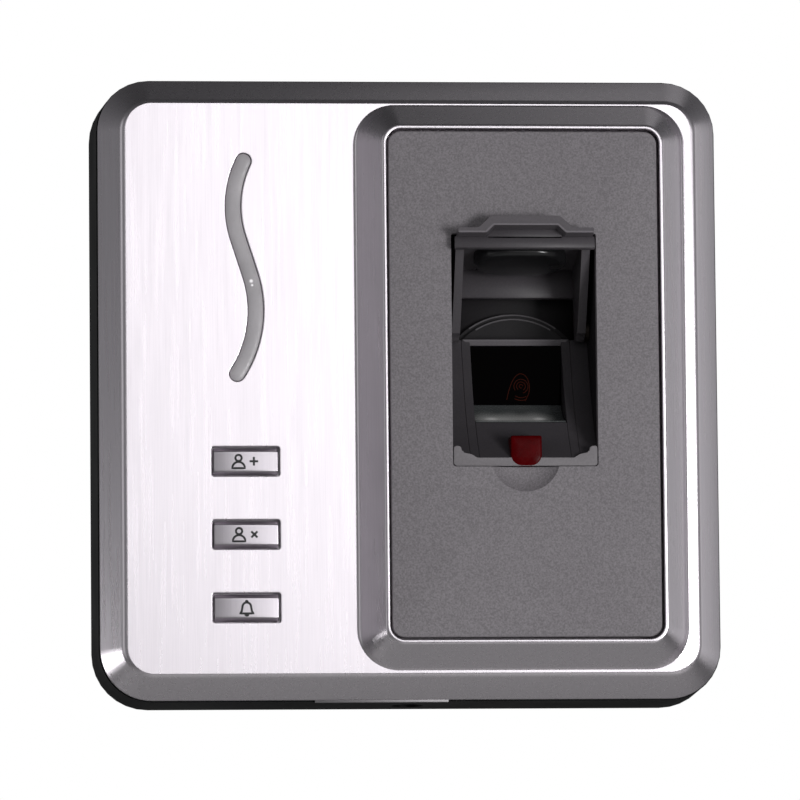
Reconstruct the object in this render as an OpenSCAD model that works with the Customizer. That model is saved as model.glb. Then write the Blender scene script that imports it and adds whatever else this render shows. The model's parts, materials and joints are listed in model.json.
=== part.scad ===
// Wall-mounted fingerprint terminal: brushed fascia, raised bezel, finger bay with a hinged hood.
// Origin at the centre of the wall face. +X to the right, +Z up, and the front looks towards -Y.
// Depths inside the finger bay are measured back from the face of the sensor panel.

/* [Body] */
// Width of the square fascia
fascia_w = 104; // [100:0.5:112]
// Height of the square fascia
fascia_h = 104; // [102:0.5:112]
// Corner radius of the fascia outline
fascia_r = 8.6; // [7:0.1:10]
// Depth of the black base, from the wall to the back edge of the fascia
base_depth = 15; // [15:0.5:20]
// How far the base stands out past the fascia all round
base_margin = 0.2; // [0.1:0.05:0.5]
// Flare of the base's sides from its front edge to the wall, per side
base_flare = 0.6; // [0.3:0.05:0.65]
// Wall thickness of the base
base_wall = 2; // [1.6:0.1:2.4]
// Height of the upright edge of the fascia
edge_h = 1; // [0.8:0.1:1.4]
// Width of the outer bevel, seen from the front
bevel_w = 4.2; // [3.6:0.1:4.4]
// Height of the outer bevel, front to back
bevel_h = 5.2; // [4.8:0.1:5.6]
// Thickness of the fascia
skin = 2; // [1.6:0.1:2.2]

/* [Bezel and panel] */
// Centre of the raised bezel, to the right of the middle
bezel_x = 18.4; // [17.5:0.1:18.6]
// Width of the bezel at its foot
bezel_w = 55; // [54:0.1:55.4]
// Height of the bezel at its foot
bezel_h = 94.5; // [93:0.1:94.6]
// Width of the bezel's sloping side
slope_w = 3.95; // [3.6:0.05:4.2]
// How far the bezel rises above the flat field
bezel_rise = 6; // [5.6:0.1:6.4]
// Width of the flat lip round the sensor panel
lip_w = 0.65; // [0.5:0.05:0.8]
// How far the sensor panel lies below the lip
panel_sink = 0.6; // [0.4:0.1:0.8]
// Gap between the sensor panel and the lip
panel_gap = 0.4; // [0.25:0.05:0.5]
// Thickness of the sensor panel
panel_t = 2; // [1.8:0.1:2.2]

/* [Finger bay] */
// Half the width of the opening in the panel
bay_half_w = 12.15; // [12.1:0.05:12.3]
// Lowest point of the opening
bay_low = -13.85; // [-14.2:0.05:-13.85]
// Highest point of the opening beside its notch
bay_top = 25.1; // [25.1:0.1:26]
// Half the width of the sensor window
window_half_w = 7.65; // [7:0.05:8]
// Radius of the finger scoop in the panel
scoop_r = 5.85; // [5.4:0.05:6.2]
// Depth of the finger scoop
scoop_depth = 1.5; // [1:0.1:1.6]

/* [Hood] */
// Depth of the hood's pivot behind the panel
pivot_depth = 11.9; // [11.7:0.05:12]
// Height of the hood's pivot
pivot_z = 10.05; // [10:0.05:10.2]
// Angle between the closed hood and the open hood
hood_travel = 102; // [90:1:102]
// Reach of the hood plate in front of its pivot
hood_len = 19; // [18.6:0.1:19]
// Radius of the hinge pins
pin_r = 1; // [0.9:0.05:1.1]
// Running clearance round the hinge pins
pin_gap = 0.06; // [0.03:0.01:0.1]

/* [Keys and light] */
// Centre of the column of keys
key_x = -27.9; // [-29:0.1:-27]
// Height of the top key's centre
key_top_z = -12.5; // [-13:0.1:-12]
// Distance between two keys
key_pitch = 12.2; // [12:0.1:13]
// Width of a key hole
key_hole_w = 11.4; // [11:0.1:12]
// Height of a key hole
key_hole_h = 5; // [4.8:0.1:5.4]
// Clearance round a key
key_gap = 0.25; // [0.2:0.05:0.35]
// Travel of a key
key_travel = 0.5; // [0.3:0.05:0.6]
// Width of the curved light slot
light_w = 2.7; // [2.4:0.1:3]

/* [Hidden] */
$fn = 48;
cut = 0.1;

// Depths, all measured from the wall, negative towards the front
edge_y = -base_depth - edge_h;
field_y = edge_y - bevel_h;
lip_y = field_y - bezel_rise;
panel_y = lip_y + panel_sink;
skin_y = field_y + skin;
recess_y = -1.5;
floor_y = recess_y - base_wall;

field_w = fascia_w - 2 * bevel_w;
field_h = fascia_h - 2 * bevel_w;
field_r = fascia_r - bevel_w + 0.4;
lip_out_w = bezel_w - 2 * slope_w;
lip_out_h = bezel_h - 2 * slope_w;
lip_in_w = lip_out_w - 2 * lip_w;
lip_in_h = lip_out_h - 2 * lip_w;
panel_w = lip_in_w - 2 * panel_gap;
panel_h = lip_in_h - 2 * panel_gap;
bezel_r = 6.6;
lip_r = 3.1;
panel_r = 2.1;
collar_y = lip_y + 3.3;
flange_y = collar_y + 1;

// ---------- drawing helpers ----------

// A flat outline (X, Z) given a thickness that grows from y towards the front
module plate(y, t)
    translate([0, y, 0])
        rotate([90, 0, 0])
            linear_extrude(t)
                children();

// An outline drawn as (Y, Z), extruded along X and centred on X = 0
module across(w)
    translate([-w / 2, 0, 0])
        rotate([90, 0, 90])
            linear_extrude(w)
                children();

// A rectangle with round corners, centred
module rounded(w, h, r) {
    square([w - 2 * r, h], center = true);
    square([w, h - 2 * r], center = true);
    for (sx = [-1, 1], sz = [-1, 1])
        translate([sx * (w / 2 - r), sz * (h / 2 - r)])
            circle(r);
}

// A block with a round-cornered outline at each end, the first at y1 and the second at y2
module tapered(y1, size1, r1, y2, size2, r2)
    hull() {
        plate(y1, 0.01)
            rounded(size1[0], size1[1], r1, $fn = 32);
        plate(y2 + 0.01, 0.01)
            rounded(size2[0], size2[1], r2, $fn = 32);
    }

// A box from its lowest corner to its highest
module box(low, high)
    translate(low)
        cube(high - low);

// A cylinder along Y from y1 forward to y2
module post(x, z, r, y1, y2)
    translate([x, y1, z])
        rotate([90, 0, 0])
            cylinder(r = r, h = y1 - y2);

// Moves its children from bay coordinates (offset from the bay's middle, depth, height)
module in_bay()
    translate([bezel_x, panel_y, 0])
        children();

// ---------- light slot: two arcs joined by a straight stretch ----------

upper_c = [-12.2, 30.2];
upper_r = 17.5;
lower_c = [-45.5, 12.9];
lower_r = 19.5;
upper_end = 154;
lower_end = -33.3;
centre_gap = norm(lower_c - upper_c);
cross_angle = atan2(lower_c[1] - upper_c[1], lower_c[0] - upper_c[0]) + 360;
join_angle = cross_angle - acos((upper_r + lower_r) / centre_gap);
arc_steps = 10;

// Points of one side of the slot, side = 1 to the right of the line and -1 to its left
function slot_side(w, side) = concat(
    [for (i = [0 : arc_steps])
        let (a = upper_end + (join_angle - upper_end) * i / arc_steps)
            upper_c + (upper_r - side * w / 2) * [cos(a), sin(a)]],
    [for (i = [0 : arc_steps])
        let (a = join_angle - 180 + (lower_end - join_angle + 180) * i / arc_steps)
            lower_c + (lower_r + side * w / 2) * [cos(a), sin(a)]]);
function reversed(list) = [for (i = [len(list) - 1 : -1 : 0]) list[i]];
upper_tip = upper_c + upper_r * [cos(upper_end), sin(upper_end)];
lower_tip = lower_c + lower_r * [cos(lower_end), sin(lower_end)];

module light_outline(w) {
    polygon(concat(slot_side(w, 1), reversed(slot_side(w, -1))));
    for (tip = [upper_tip, lower_tip])
        translate(tip)
            circle(w / 2);
}

// ---------- fascia and base ----------

boss_at = 44.5;
screw_r = 1.2;
screw_gap = 0.02;
boss_back_y = -9;
corners = [for (sx = [-1, 1], sz = [-1, 1]) [sx * boss_at, sz * boss_at]];
key_z = [for (i = [0 : 2]) key_top_z - i * key_pitch];
key_board_posts = [[-36.2, -4.6], [-19.6, 37.5]];
key_board_y = -11.4;
key_board_t = 1;
release_x = [-16.2, 6.2];

module fascia_body()
    difference() {
        union() {
            plate(-base_depth, edge_h)
                rounded(fascia_w, fascia_h, fascia_r);
            tapered(edge_y, [fascia_w, fascia_h], fascia_r, field_y, [field_w, field_h], field_r);
            translate([bezel_x, 0, 0])
                tapered(skin_y, [bezel_w, bezel_h], bezel_r,
                        lip_y, [lip_out_w, lip_out_h], lip_r);
        }
        plate(-base_depth + cut, edge_h + cut + 0.01)
            rounded(fascia_w - 4, fascia_h - 4, fascia_r - 2);
        tapered(edge_y, [fascia_w - 4, fascia_h - 4], fascia_r - 2,
                skin_y, [field_w - 3.6, field_h - 3.6], 3.4);
        translate([bezel_x, 0, 0])
            tapered(skin_y + 0.2, [lip_out_w + 5.2, lip_out_h + 5.2], 4.4,
                    collar_y, [lip_in_w + 2, lip_in_h + 2], 3.2);
        translate([bezel_x, 0, 0])
            plate(collar_y + cut, 4)
                rounded(lip_in_w, lip_in_h, lip_r - lip_w);
        for (z = key_z)
            translate([key_x, 0, z])
                plate(skin_y + cut, skin + 2 * cut)
                    rounded(key_hole_w, key_hole_h, 0.4);
        plate(skin_y + cut, skin + 2 * cut)
            light_outline(light_w);
    }

module front_fascia() color([0.86, 0.86, 0.87])
    difference() {
        union() {
            fascia_body();
            for (c = corners)
                post(c[0], c[1], 2.8, boss_back_y, skin_y - 1);
            for (p = key_board_posts)
                post(p[0], p[1], 2.1, key_board_y - key_board_t, skin_y - 0.5);
            box([release_x[0], -base_depth - 0.8, -fascia_h / 2 - 0.5],
                [release_x[1], -base_depth - 0.1, -fascia_h / 2 + 1]);
        }
        for (c = corners)
            post(c[0], c[1], screw_r + screw_gap, boss_back_y + cut, skin_y + 2);
        for (p = key_board_posts)
            post(p[0], p[1], 1.02, 0, skin_y + 0.6);
    }

header_z = -16.5;
cable_low = [-37, -34];
cable_high = [-7, -21];
hook_x = 30;
hook_z = 33;
lock_y = -7;
lock_r = 1.25;
tamper_at = [-12, 22];
board_front_y = -9;
board_back_y = -7.4;
board_posts = [[-44, -38.5], [-44, 36], [-3.5, 40.5], [44, -36]];

base_rim = base_margin + base_flare;

module base_shell() color([0.05, 0.05, 0.055])
    difference() {
        union() {
            tapered(0, [fascia_w - 3, fascia_h - 3], fascia_r - 1,
                    -1.2, [fascia_w + 2 * base_rim, fascia_h + 2 * base_rim],
                    fascia_r + base_rim);
            difference() {
                tapered(-1.2, [fascia_w + 2 * base_rim, fascia_h + 2 * base_rim],
                        fascia_r + base_rim,
                        -base_depth, [fascia_w + 2 * base_margin, fascia_h + 2 * base_margin],
                        fascia_r + base_margin);
                plate(floor_y, base_depth)
                    rounded(fascia_w - 2 * base_wall, fascia_h - 2 * base_wall,
                            fascia_r - base_wall);
            }
            for (c = corners)
                post(c[0], c[1], 2.8, floor_y + 1, boss_back_y);
            for (p = board_posts)
                post(p[0], p[1], 2.4, floor_y + 1, board_back_y);
        }
        // Recess for the wall plate
        plate(cut, cut - recess_y)
            rounded(92.8, 92.8, 4);
        // Cable opening and the window for the wire headers
        box([cable_low[0], floor_y - cut, cable_low[1]], [cable_high[0], 0, cable_high[1]]);
        box([-39, floor_y - cut, header_z - 3.6], [-5, 0, header_z + 3.6]);
        // Slots for the hooks and the locking tab of the wall plate
        for (sx = [-1, 1])
            box([sx * hook_x - 5, floor_y - cut, hook_z - 3], [sx * hook_x + 5, 0, hook_z + 3.6]);
        box([-6, floor_y - cut, -45.2], [6, 0, -42]);
        // Hole for the tamper plunger
        post(tamper_at[0], tamper_at[1], 2, 0, floor_y - cut);
        // Holes for the fascia screws, with seats for their heads
        for (c = corners) {
            post(c[0], c[1], screw_r + 0.2, 0, boss_back_y - cut);
            post(c[0], c[1], 2.4, 0, floor_y);
        }
        for (p = board_posts)
            post(p[0], p[1], screw_r + screw_gap, floor_y - 0.3, board_back_y - cut);
        // Locking screw, from below
        translate([0, lock_y, -fascia_h / 2 - 1]) {
            cylinder(r = lock_r + 0.2, h = 4);
            cylinder(r = 2.6, h = 2);
        }
        // Notch that frees the release edge
        box([release_x[0] - 0.3, -base_depth - cut, -fascia_h / 2 - 1],
            [release_x[1] + 0.3, -base_depth + 0.8, -fascia_h / 2 + 0.8]);
    }

module fascia_gasket() color([0.12, 0.12, 0.12])
    plate(-base_depth + 0.7, 1.4)
        difference() {
            rounded(fascia_w - 4.4, fascia_h - 4.4, fascia_r - 2.2);
            rounded(fascia_w - 6.4, fascia_h - 6.4, fascia_r - 3.2);
        }

module fascia_screws() color([0.6, 0.6, 0.62])
    for (c = corners) {
        post(c[0], c[1], 2.1, floor_y + 1.3, floor_y);
        post(c[0], c[1], screw_r, floor_y, -15.5);
    }

// ---------- wall plate ----------

plate_t = 1.2;
gang_pitch = 60;
strap_pitch = 83.5;

module wall_bracket() color([0.7, 0.71, 0.72]) {
    difference() {
        plate(0, plate_t)
            rounded(92, 92, 4);
        box([-42, -plate_t - cut, -36], [-3, cut, -10]);
        for (sx = [-1, 1])
            post(sx * gang_pitch / 2, 0, 2.2, cut, -plate_t - cut);
        for (sz = [-1, 1])
            post(0, sz * strap_pitch / 2, 2.2, cut, -plate_t - cut);
    }
    // Two hooks that carry the top of the base
    for (sx = [-1, 1]) {
        box([sx * hook_x - 4, floor_y - 1.4, hook_z - 2], [sx * hook_x + 4, -plate_t, hook_z - 0.8]);
        box([sx * hook_x - 4, floor_y - 1.4, hook_z - 2], [sx * hook_x + 4, floor_y - 0.2, hook_z + 1.4]);
    }
    // Tab that takes the locking screw
    difference() {
        box([-5, lock_y - 3, -45], [5, -plate_t, -43.8]);
        translate([0, lock_y, -46])
            cylinder(r = lock_r + screw_gap, h = 3);
    }
}

module locking_screw() color([0.55, 0.55, 0.57])
    translate([0, lock_y, -fascia_h / 2 - base_margin]) {
        translate([0, 0, 0.2])
            cylinder(r = 2.3, h = 1);
        cylinder(r = lock_r, h = 10);
    }

// ---------- sensor panel ----------

scoop_z = -12.2;
dish_r = (scoop_r * scoop_r + scoop_depth * scoop_depth) / (2 * scoop_depth);
guide_ears = [for (sx = [-1, 1], z = [-10, 23]) [sx * 17, z]];
ear_y = panel_y + 3.7;

module bay_outline() {
    translate([-bay_half_w, bay_low])
        square([2 * bay_half_w, bay_top - bay_low]);
    polygon([[-8.3, bay_top - 1], [-8.3, bay_top], [-6, bay_top + 2.3],
             [6, bay_top + 2.3], [8.3, bay_top], [8.3, bay_top - 1]]);
}

module sensor_panel() color([0.46, 0.44, 0.46])
    translate([bezel_x, 0, 0])
        difference() {
            union() {
                plate(collar_y, collar_y - panel_y)
                    rounded(panel_w, panel_h, panel_r);
                plate(flange_y, flange_y - collar_y)
                    rounded(lip_in_w + 1.4, lip_in_h + 1.4, 2.9);
            }
            difference() {
                plate(flange_y + cut, flange_y + cut - panel_y - panel_t)
                    rounded(panel_w - 3, panel_h - 3, 1.5);
                for (e = guide_ears)
                    post(e[0], e[1], 2.4, ear_y, panel_y);
            }
            plate(flange_y + cut, 8)
                bay_outline();
            translate([0, panel_y - dish_r + scoop_depth, scoop_z])
                sphere(r = dish_r, $fn = 96);
            for (e = guide_ears)
                post(e[0], e[1], 1.02, ear_y + cut, panel_y + 1.2);
        }

// ---------- finger guide ----------

guide_wall = 1.5;
guide_half_w = bay_half_w + guide_wall;
guide_top = 27.8;
bay_depth = 19.6;
pocket_half_w = 7.7;
core_half_w = 9.2;
core_back = 15.6;
// Sloping face of the seat, from the strip up to the shelf: (depth, height)
seat_foot = [0.3, -12.4];
seat_lip = [6.6, -5.9];
seat_head = [13.9, 7.3];
seat_line = [seat_foot, [3.6, -9.4], seat_lip, [9.7, -1.3], [11.8, 3], seat_head];
seat_skin = 1.3;
window_low = [13.9, -2.2];
window_high = [14.3, 7.75];
shelf_z = 8.8;
shelf_front = [15, shelf_z];
shelf_back = [bay_depth, shelf_z];
lower_back_z = -4;
glass_t = 1.2;
stop_r = 13;
stop_half_w = 10;
stop_z = 13.6 - stop_r;

// Section of the seat's skin: (depth, height)
module seat_section()
    polygon(concat(seat_line, [shelf_front, shelf_back, shelf_back - [0, seat_skin],
             [16.2, shelf_z - seat_skin], [13.4, 2.4], [11.2, -2.2], [8, -7],
             [4.8, -10.6], [1.9, -13], [seat_foot[0], bay_low]]));

// Block round the window's pocket
module core_section()
    polygon([seat_lip, [9.7, -1.3], [11.8, 3], seat_head, shelf_front, [core_back, shelf_z],
             [core_back, -4.6], [8, -7.4]]);

// Pocket in front of the window, with the sloping ledge at its foot
module pocket_section()
    polygon([seat_lip - [2, -0.6], seat_lip + [0.4, 0.25], [10.4, -4.75], window_low - [0, 0.2],
             window_high, shelf_front + [0.1, 0.1], [8, shelf_z + 1]]);

// Light strip that closes the foot of the bay, with its stepped upper edge
module strip_outline()
    polygon([[-12, bay_low + 0.15], [12, bay_low + 0.15], [12, -10.45], [10.85, -10.45],
             [10.6, -11.5], [9.1, -11.8], [8.1, seat_foot[1]], [-8.1, seat_foot[1]],
             [-9.1, -11.8], [-10.6, -11.5], [-10.85, -10.45], [-12, -10.45]]);

// Raised arch on the back wall that stops the fingertip
module finger_stop(r, depth)
    intersection() {
        translate([0, 0, stop_z])
            rotate([90, 0, 0])
                translate([0, 0, -bay_depth - 0.5])
                    cylinder(r = r, h = depth, $fn = 96);
        box([-stop_half_w, 0, shelf_z - 0.5], [stop_half_w, bay_depth + 1, 20]);
    }

module guide_shell()
    difference() {
        union() {
            box([-guide_half_w, panel_t, bay_low - guide_wall],
                [guide_half_w, bay_depth + 1.4, guide_top + guide_wall]);
            for (e = guide_ears)
                box([min(0, e[0] + sign(e[0]) * 3), ear_y - panel_y, e[1] - 3],
                    [max(0, e[0] + sign(e[0]) * 3), ear_y - panel_y + 1.5, e[1] + 3]);
        }
        box([-bay_half_w, panel_t - cut, bay_low], [bay_half_w, bay_depth, guide_top]);
        // Open at the back, below the shelf, for the sensor module
        box([-core_half_w - 0.2, 12, bay_low - guide_wall - cut],
            [core_half_w + 0.2, bay_depth + 2, shelf_z - seat_skin]);
        box([-guide_half_w - cut, 17.5, bay_low - guide_wall - cut],
            [guide_half_w + cut, bay_depth + 2, lower_back_z]);
        for (e = guide_ears)
            translate([e[0], 0, e[1]])
                rotate([-90, 0, 0])
                    cylinder(r = 1.2, h = 12);
        translate([-20, pivot_depth, pivot_z])
            rotate([0, 90, 0])
                cylinder(r = pin_r + screw_gap, h = 40);
    }

module finger_guide() color([0.25, 0.24, 0.25])
    in_bay()
        difference() {
            union() {
                guide_shell();
                across(2 * bay_half_w + 0.2)
                    seat_section();
                across(2 * core_half_w)
                    core_section();
                plate(1.3, 1.25)
                    strip_outline();
                finger_stop(stop_r, 1.6);
                finger_stop(stop_r - 0.8, 2.4);
            }
            across(2 * pocket_half_w)
                pocket_section();
            // Window behind the pocket, and the recess of the lower glass in its ledge
            across(2 * window_half_w + 0.1)
                polygon([window_low - [0.3, 0], window_high - [0.3, 0],
                         window_high + [3, 0], window_low + [3, 0]]);
            across(2 * window_half_w + 0.1)
                lower_glass_section(0.05);
            red_lens(0.05);
        }

module sensor_glass() color([0.02, 0.02, 0.03])
    in_bay()
        across(2 * window_half_w)
            polygon([window_low + [0, 0.03], window_high - [0, 0.03],
                     window_high + [glass_t, -0.03], window_low + [glass_t, 0.03]]);

// Curved glass on the ledge below the window: (depth, height)
module lower_glass_section(grow)
    offset(delta = grow)
        polygon([seat_lip + [0.5, 0.2], [8.6, -5.35], [10.4, -4.75], [12.3, -3.7],
                 window_low - [0.1, 0.25], window_low - [0.1, 1], [10.6, -5.65],
                 seat_lip + [0.8, -0.4]]);

module lower_glass() color([0.3, 0.33, 0.34])
    in_bay()
        across(2 * window_half_w)
            lower_glass_section(0);

// ---------- red indicator ----------

lens_half_w = 2.6;
lens_corner = 1.8;
lens_low = -13.75;
lens_high = -8.7;
lens_u = 0.1;
lens_front = -0.2;
lens_back = 6.5;

module red_lens(grow)
    translate([lens_u, 0, 0])
        plate(lens_back + grow, lens_back - lens_front + 2 * grow) {
            translate([-lens_half_w - grow, lens_low + lens_corner])
                square([2 * (lens_half_w + grow), lens_high - lens_low - lens_corner + grow]);
            translate([0, lens_low + lens_corner])
                rounded(2 * (lens_half_w + grow), 2 * (lens_corner + grow), lens_corner + grow - 0.01);
        }

module red_indicator() color([0.5, 0.02, 0.03])
    in_bay()
        red_lens(0);

module indicator_led() color([0.9, 0.3, 0.3])
    in_bay()
        translate([lens_u, 6.7, -11.2])
            rotate([-90, 0, 0]) {
                cylinder(r = 1.5, h = 3);
                translate([0, 0, 3])
                    cylinder(r = 1.8, h = 1);
            }

// ---------- sensor module behind the window ----------

module_back = 21.6;

module sensor_prism() color([0.75, 0.82, 0.85])
    in_bay()
        across(14.6)
            polygon([[15.6, -1.8], [15.9, 7.1], [17.8, 7.1], [17.8, -1.8]]);

module sensor_housing() color([0.1, 0.1, 0.11])
    in_bay()
        difference() {
            box([-8.8, core_back + 0.1, -12.6], [8.8, module_back, 7.2]);
            box([-window_half_w, core_back, -1.95], [window_half_w, 17.95, 7.15]);
            box([-7.6, 17.9, -11.4], [7.6, module_back + cut, 6.2]);
        }

module camera_lens() color([0.03, 0.03, 0.03])
    in_bay()
        translate([0, 18.2, 2])
            rotate([-90, 0, 0]) {
                cylinder(r = 2.6, h = 2);
                translate([0, 0, 2])
                    cylinder(r = 3.4, h = module_back - 20.2);
            }

module image_board() color([0.05, 0.3, 0.16])
    in_bay()
        box([-8.8, module_back, -13], [8.8, module_back + 0.8, 7.3]);

module backlight_leds() color([0.8, 0.2, 0.2])
    in_bay()
        for (u = [-5, 0, 5])
            box([u - 1, module_back - 1.2, -6.6], [u + 1, module_back, -5.4]);

module ribbon_cable() color([0.85, 0.86, 0.9])
    translate([bezel_x, 0, 0])
        across(9)
            polygon([[panel_y + module_back + 0.8, -12.6], [panel_y + module_back + 1.1, -12.6],
                     [panel_y + module_back + 1.1, -16.3], [board_front_y + 0.0, -17.4],
                     [board_front_y, -22], [board_front_y - 0.3, -22],
                     [board_front_y - 0.3, -17.2], [panel_y + module_back + 0.8, -16.1]]);

// ---------- hood ----------

hood_out = pivot_depth;
side_t = 0.9;
hat_rise = 2.07;
hat_half_base = 7.9;
hat_half_top = 5.7;
hood_half_w = 11.75;
cheek_in = 9.85;
cheek_out = 11.3;
hood_back = 1.6;
cheek_foot = -14.4;
boss_r = 1.9;
inner_y = -hood_out + side_t;
crown_in_y = inner_y - 1.3;
hood_bite = 0.4;
bar_low = -hood_len + 2.4;
bar_t = 1.2;
pad_t = 2.3;

// Cross-section of the hood plate: (offset, depth from the pivot)
module hood_section()
    polygon([[-hood_half_w + hood_bite, -hood_out], [-hat_half_base, -hood_out],
             [-hat_half_top, -hood_out - hat_rise], [hat_half_top, -hood_out - hat_rise],
             [hat_half_base, -hood_out], [hood_half_w - hood_bite, -hood_out],
             [hood_half_w - hood_bite, inner_y], [6.6, inner_y], [5.3, crown_in_y],
             [-5.3, crown_in_y], [-6.6, inner_y], [-hood_half_w + hood_bite, inner_y]]);

// Side cheek of the hood, round its pivot: (depth, height)
module hood_cheek()
    difference() {
        union() {
            polygon([[inner_y - 0.1, cheek_foot], [inner_y - 0.1, hood_back], [-7, hood_back],
                     [0, boss_r], [1.5, 0.6], [1.35, -2.9], [-4.3, -8.3], [-10.2, -13.4]]);
            circle(boss_r);
        }
        circle(pin_r + pin_gap);
    }

// The hood as it lies when closed, its pivot at the origin
module hood_closed() {
    translate([0, 0, -hood_len])
        linear_extrude(hood_len + hood_back)
            hood_section();
    for (sx = [-1, 1])
        translate([sx * (cheek_in + cheek_out) / 2, 0, 0])
            across(cheek_out - cheek_in)
                hood_cheek();
    // Grip bar under the free edge, and the wall at the hinge end
    box([-hood_half_w + 0.05, inner_y - 0.05, bar_low],
        [hood_half_w - 0.05, inner_y + 1.85, bar_low + bar_t]);
    box([-6.2, crown_in_y - 0.05, bar_low], [6.2, inner_y + 0.1, bar_low + bar_t]);
    box([-cheek_in - 0.1, inner_y - 0.05, hood_back - 1.1],
        [cheek_in + 0.1, inner_y + 5, hood_back]);
    box([-6.2, crown_in_y - 0.05, hood_back - 1.1], [6.2, inner_y + 0.1, hood_back]);
}

module hood_pose()
    in_bay()
        translate([0, pivot_depth, pivot_z])
            rotate([-hood_travel, 0, 0])
                children();

module hood_flap() color([0.28, 0.27, 0.28])
    hood_pose()
        hood_closed();

// Round pad on the underside of the hood, with a key that fills the crown
module hood_pad() color([0.16, 0.16, 0.17])
    hood_pose()
        translate([0, inner_y + pad_t, -8]) {
            plate(0, pad_t)
                rounded(15.6, 11.6, 5.7);
            plate(-pad_t, 1.3)
                rounded(10.4, 11.6, 4.5);
        }

module hinge_pins() color([0.75, 0.75, 0.77])
    in_bay()
        for (sx = [-1, 1])
            translate([0, pivot_depth, pivot_z])
                rotate([0, sx * 90, 0]) {
                    translate([0, 0, cheek_in + 0.1])
                        cylinder(r = pin_r, h = guide_half_w - cheek_in - 0.1);
                    translate([0, 0, guide_half_w])
                        cylinder(r = 2, h = 0.8);
                }

module friction_washers() color([0.65, 0.6, 0.45])
    in_bay()
        for (sx = [-1, 1])
            translate([0, pivot_depth, pivot_z])
                rotate([0, sx * 90, 0])
                    translate([0, 0, cheek_out + 0.05])
                        difference() {
                            cylinder(r = boss_r, h = bay_half_w - cheek_out - 0.1);
                            translate([0, 0, -cut])
                                cylinder(r = pin_r + 0.05, h = 1);
                        }

module guide_screws() color([0.6, 0.6, 0.62])
    in_bay()
        for (e = guide_ears)
            translate([e[0], 0, e[1]]) {
                post(0, 0, 1, ear_y - panel_y + 1.5, 1.4);
                post(0, 0, 2, ear_y - panel_y + 2.5, ear_y - panel_y + 1.5);
            }

// ---------- keys and status light ----------

key_rise = 0.3;
key_chamfer = 0.5;
key_cap_w = key_hole_w - 2 * key_gap;
key_cap_h = key_hole_h - 2 * key_gap;
flange_front_y = skin_y + 0.2;
stem_y = -16.4;
switch_front_y = -15.7;

// A sculpted key cap with a retaining flange and a stem, at height z
module key(z) color([0.72, 0.72, 0.73])
    translate([key_x, 0, z]) {
        tapered(field_y, [key_cap_w, key_cap_h], 0.35,
                field_y - key_rise, [key_cap_w - 0.3, key_cap_h - 2 * key_chamfer], 0.25);
        plate(flange_front_y, flange_front_y - field_y)
            rounded(key_cap_w, key_cap_h, 0.35);
        plate(flange_front_y + 1, 1)
            rounded(key_hole_w + 1.6, key_hole_h + 1.2, 0.6);
        post(0, 0, 1.5, stem_y, flange_front_y + 0.9);
    }

module actuator(z) color([0.1, 0.1, 0.1])
    translate([key_x, 0, z])
        post(0, 0, 1.4, stem_y + 2.4, stem_y);

module key_enroll() key(key_z[0]);
module key_delete() key(key_z[1]);
module key_bell() key(key_z[2]);
module actuator_enroll() actuator(key_z[0]);
module actuator_delete() actuator(key_z[1]);
module actuator_bell() actuator(key_z[2]);

module key_switches() color([0.2, 0.2, 0.21])
    for (z = key_z)
        translate([key_x, 0, z])
            difference() {
                box([-3, switch_front_y, -3], [3, key_board_y - key_board_t, 3]);
                post(0, 0, 1.46, key_board_y - key_board_t - 0.4, switch_front_y - cut);
            }

module key_board() color([0.06, 0.32, 0.18])
    difference() {
        box([-39, key_board_y - key_board_t, -44], [-17, key_board_y, 41]);
        for (p = key_board_posts)
            post(p[0], p[1], 1.1, 0, key_board_y - 2);
        box([-42, -14, 22], [-33, -10, 44]);
    }

module key_board_screws() color([0.6, 0.6, 0.62])
    for (p = key_board_posts) {
        post(p[0], p[1], 1.9, key_board_y + 1, key_board_y);
        post(p[0], p[1], 1, key_board_y, -17.4);
    }

module light_guide() color([0.6, 0.61, 0.62]) {
    plate(skin_y + 0.1, skin - 0.1)
        light_outline(light_w - 0.16);
    plate(skin_y + 1.6, 1.5)
        light_outline(light_w + 2);
}

module status_leds() color([0.95, 0.95, 0.85])
    for (p = [[-28.9, 33.5], [-28.9, 26], [-27, 19.5], [-26, 12], [-26.8, 6]])
        box([p[0] - 1, key_board_y - key_board_t - 1.2, p[1] - 1.4],
            [p[0] + 1, key_board_y - key_board_t, p[1] + 1.4]);

// ---------- main board ----------

module main_board() color([0.05, 0.34, 0.2])
    difference() {
        plate(board_back_y, board_back_y - board_front_y)
            polygon([[-47.5, -41], [-40, -41], [-40, -46], [-8, -46], [-8, -40], [8, -40],
                     [8, -46], [40, -46], [40, -41], [47.5, -41], [47.5, -18.5], [3, -18.5],
                     [3, 44], [-47.5, 44]]);
        for (p = board_posts)
            post(p[0], p[1], 1.4, 0, -12);
        // Clearance round the hook of the wall plate and the fascia bosses
        box([-36, -12, 30], [-24, -5, 36.5]);
        post(-boss_at, boss_at, 3.2, 0, -12);
    }

module chip(low, size)
    translate([low[0], board_front_y - size[1], low[1]])
        cube(size);

module processor() color([0.08, 0.08, 0.09])
    chip([-14, 3], [12, 1.4, 12]);

module flash_memory() color([0.08, 0.08, 0.09])
    chip([-13, -10], [9, 1.2, 7]);

module power_inductor() color([0.25, 0.25, 0.26])
    chip([34, -32], [7, 4, 7]);

module capacitors() color([0.2, 0.22, 0.3])
    for (z = [-34, -26])
        post(-12, z, 3, board_front_y, board_front_y - 6);

module relay() color([0.1, 0.25, 0.5])
    chip([10, -42], [19, 13.5, 15.5]);

module buzzer() color([0.06, 0.06, 0.06])
    difference() {
        post(-9, 32, 6, board_front_y, board_front_y - 6.5);
        post(-9, 32, 1, board_front_y - 5, board_front_y - 7);
    }

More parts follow.
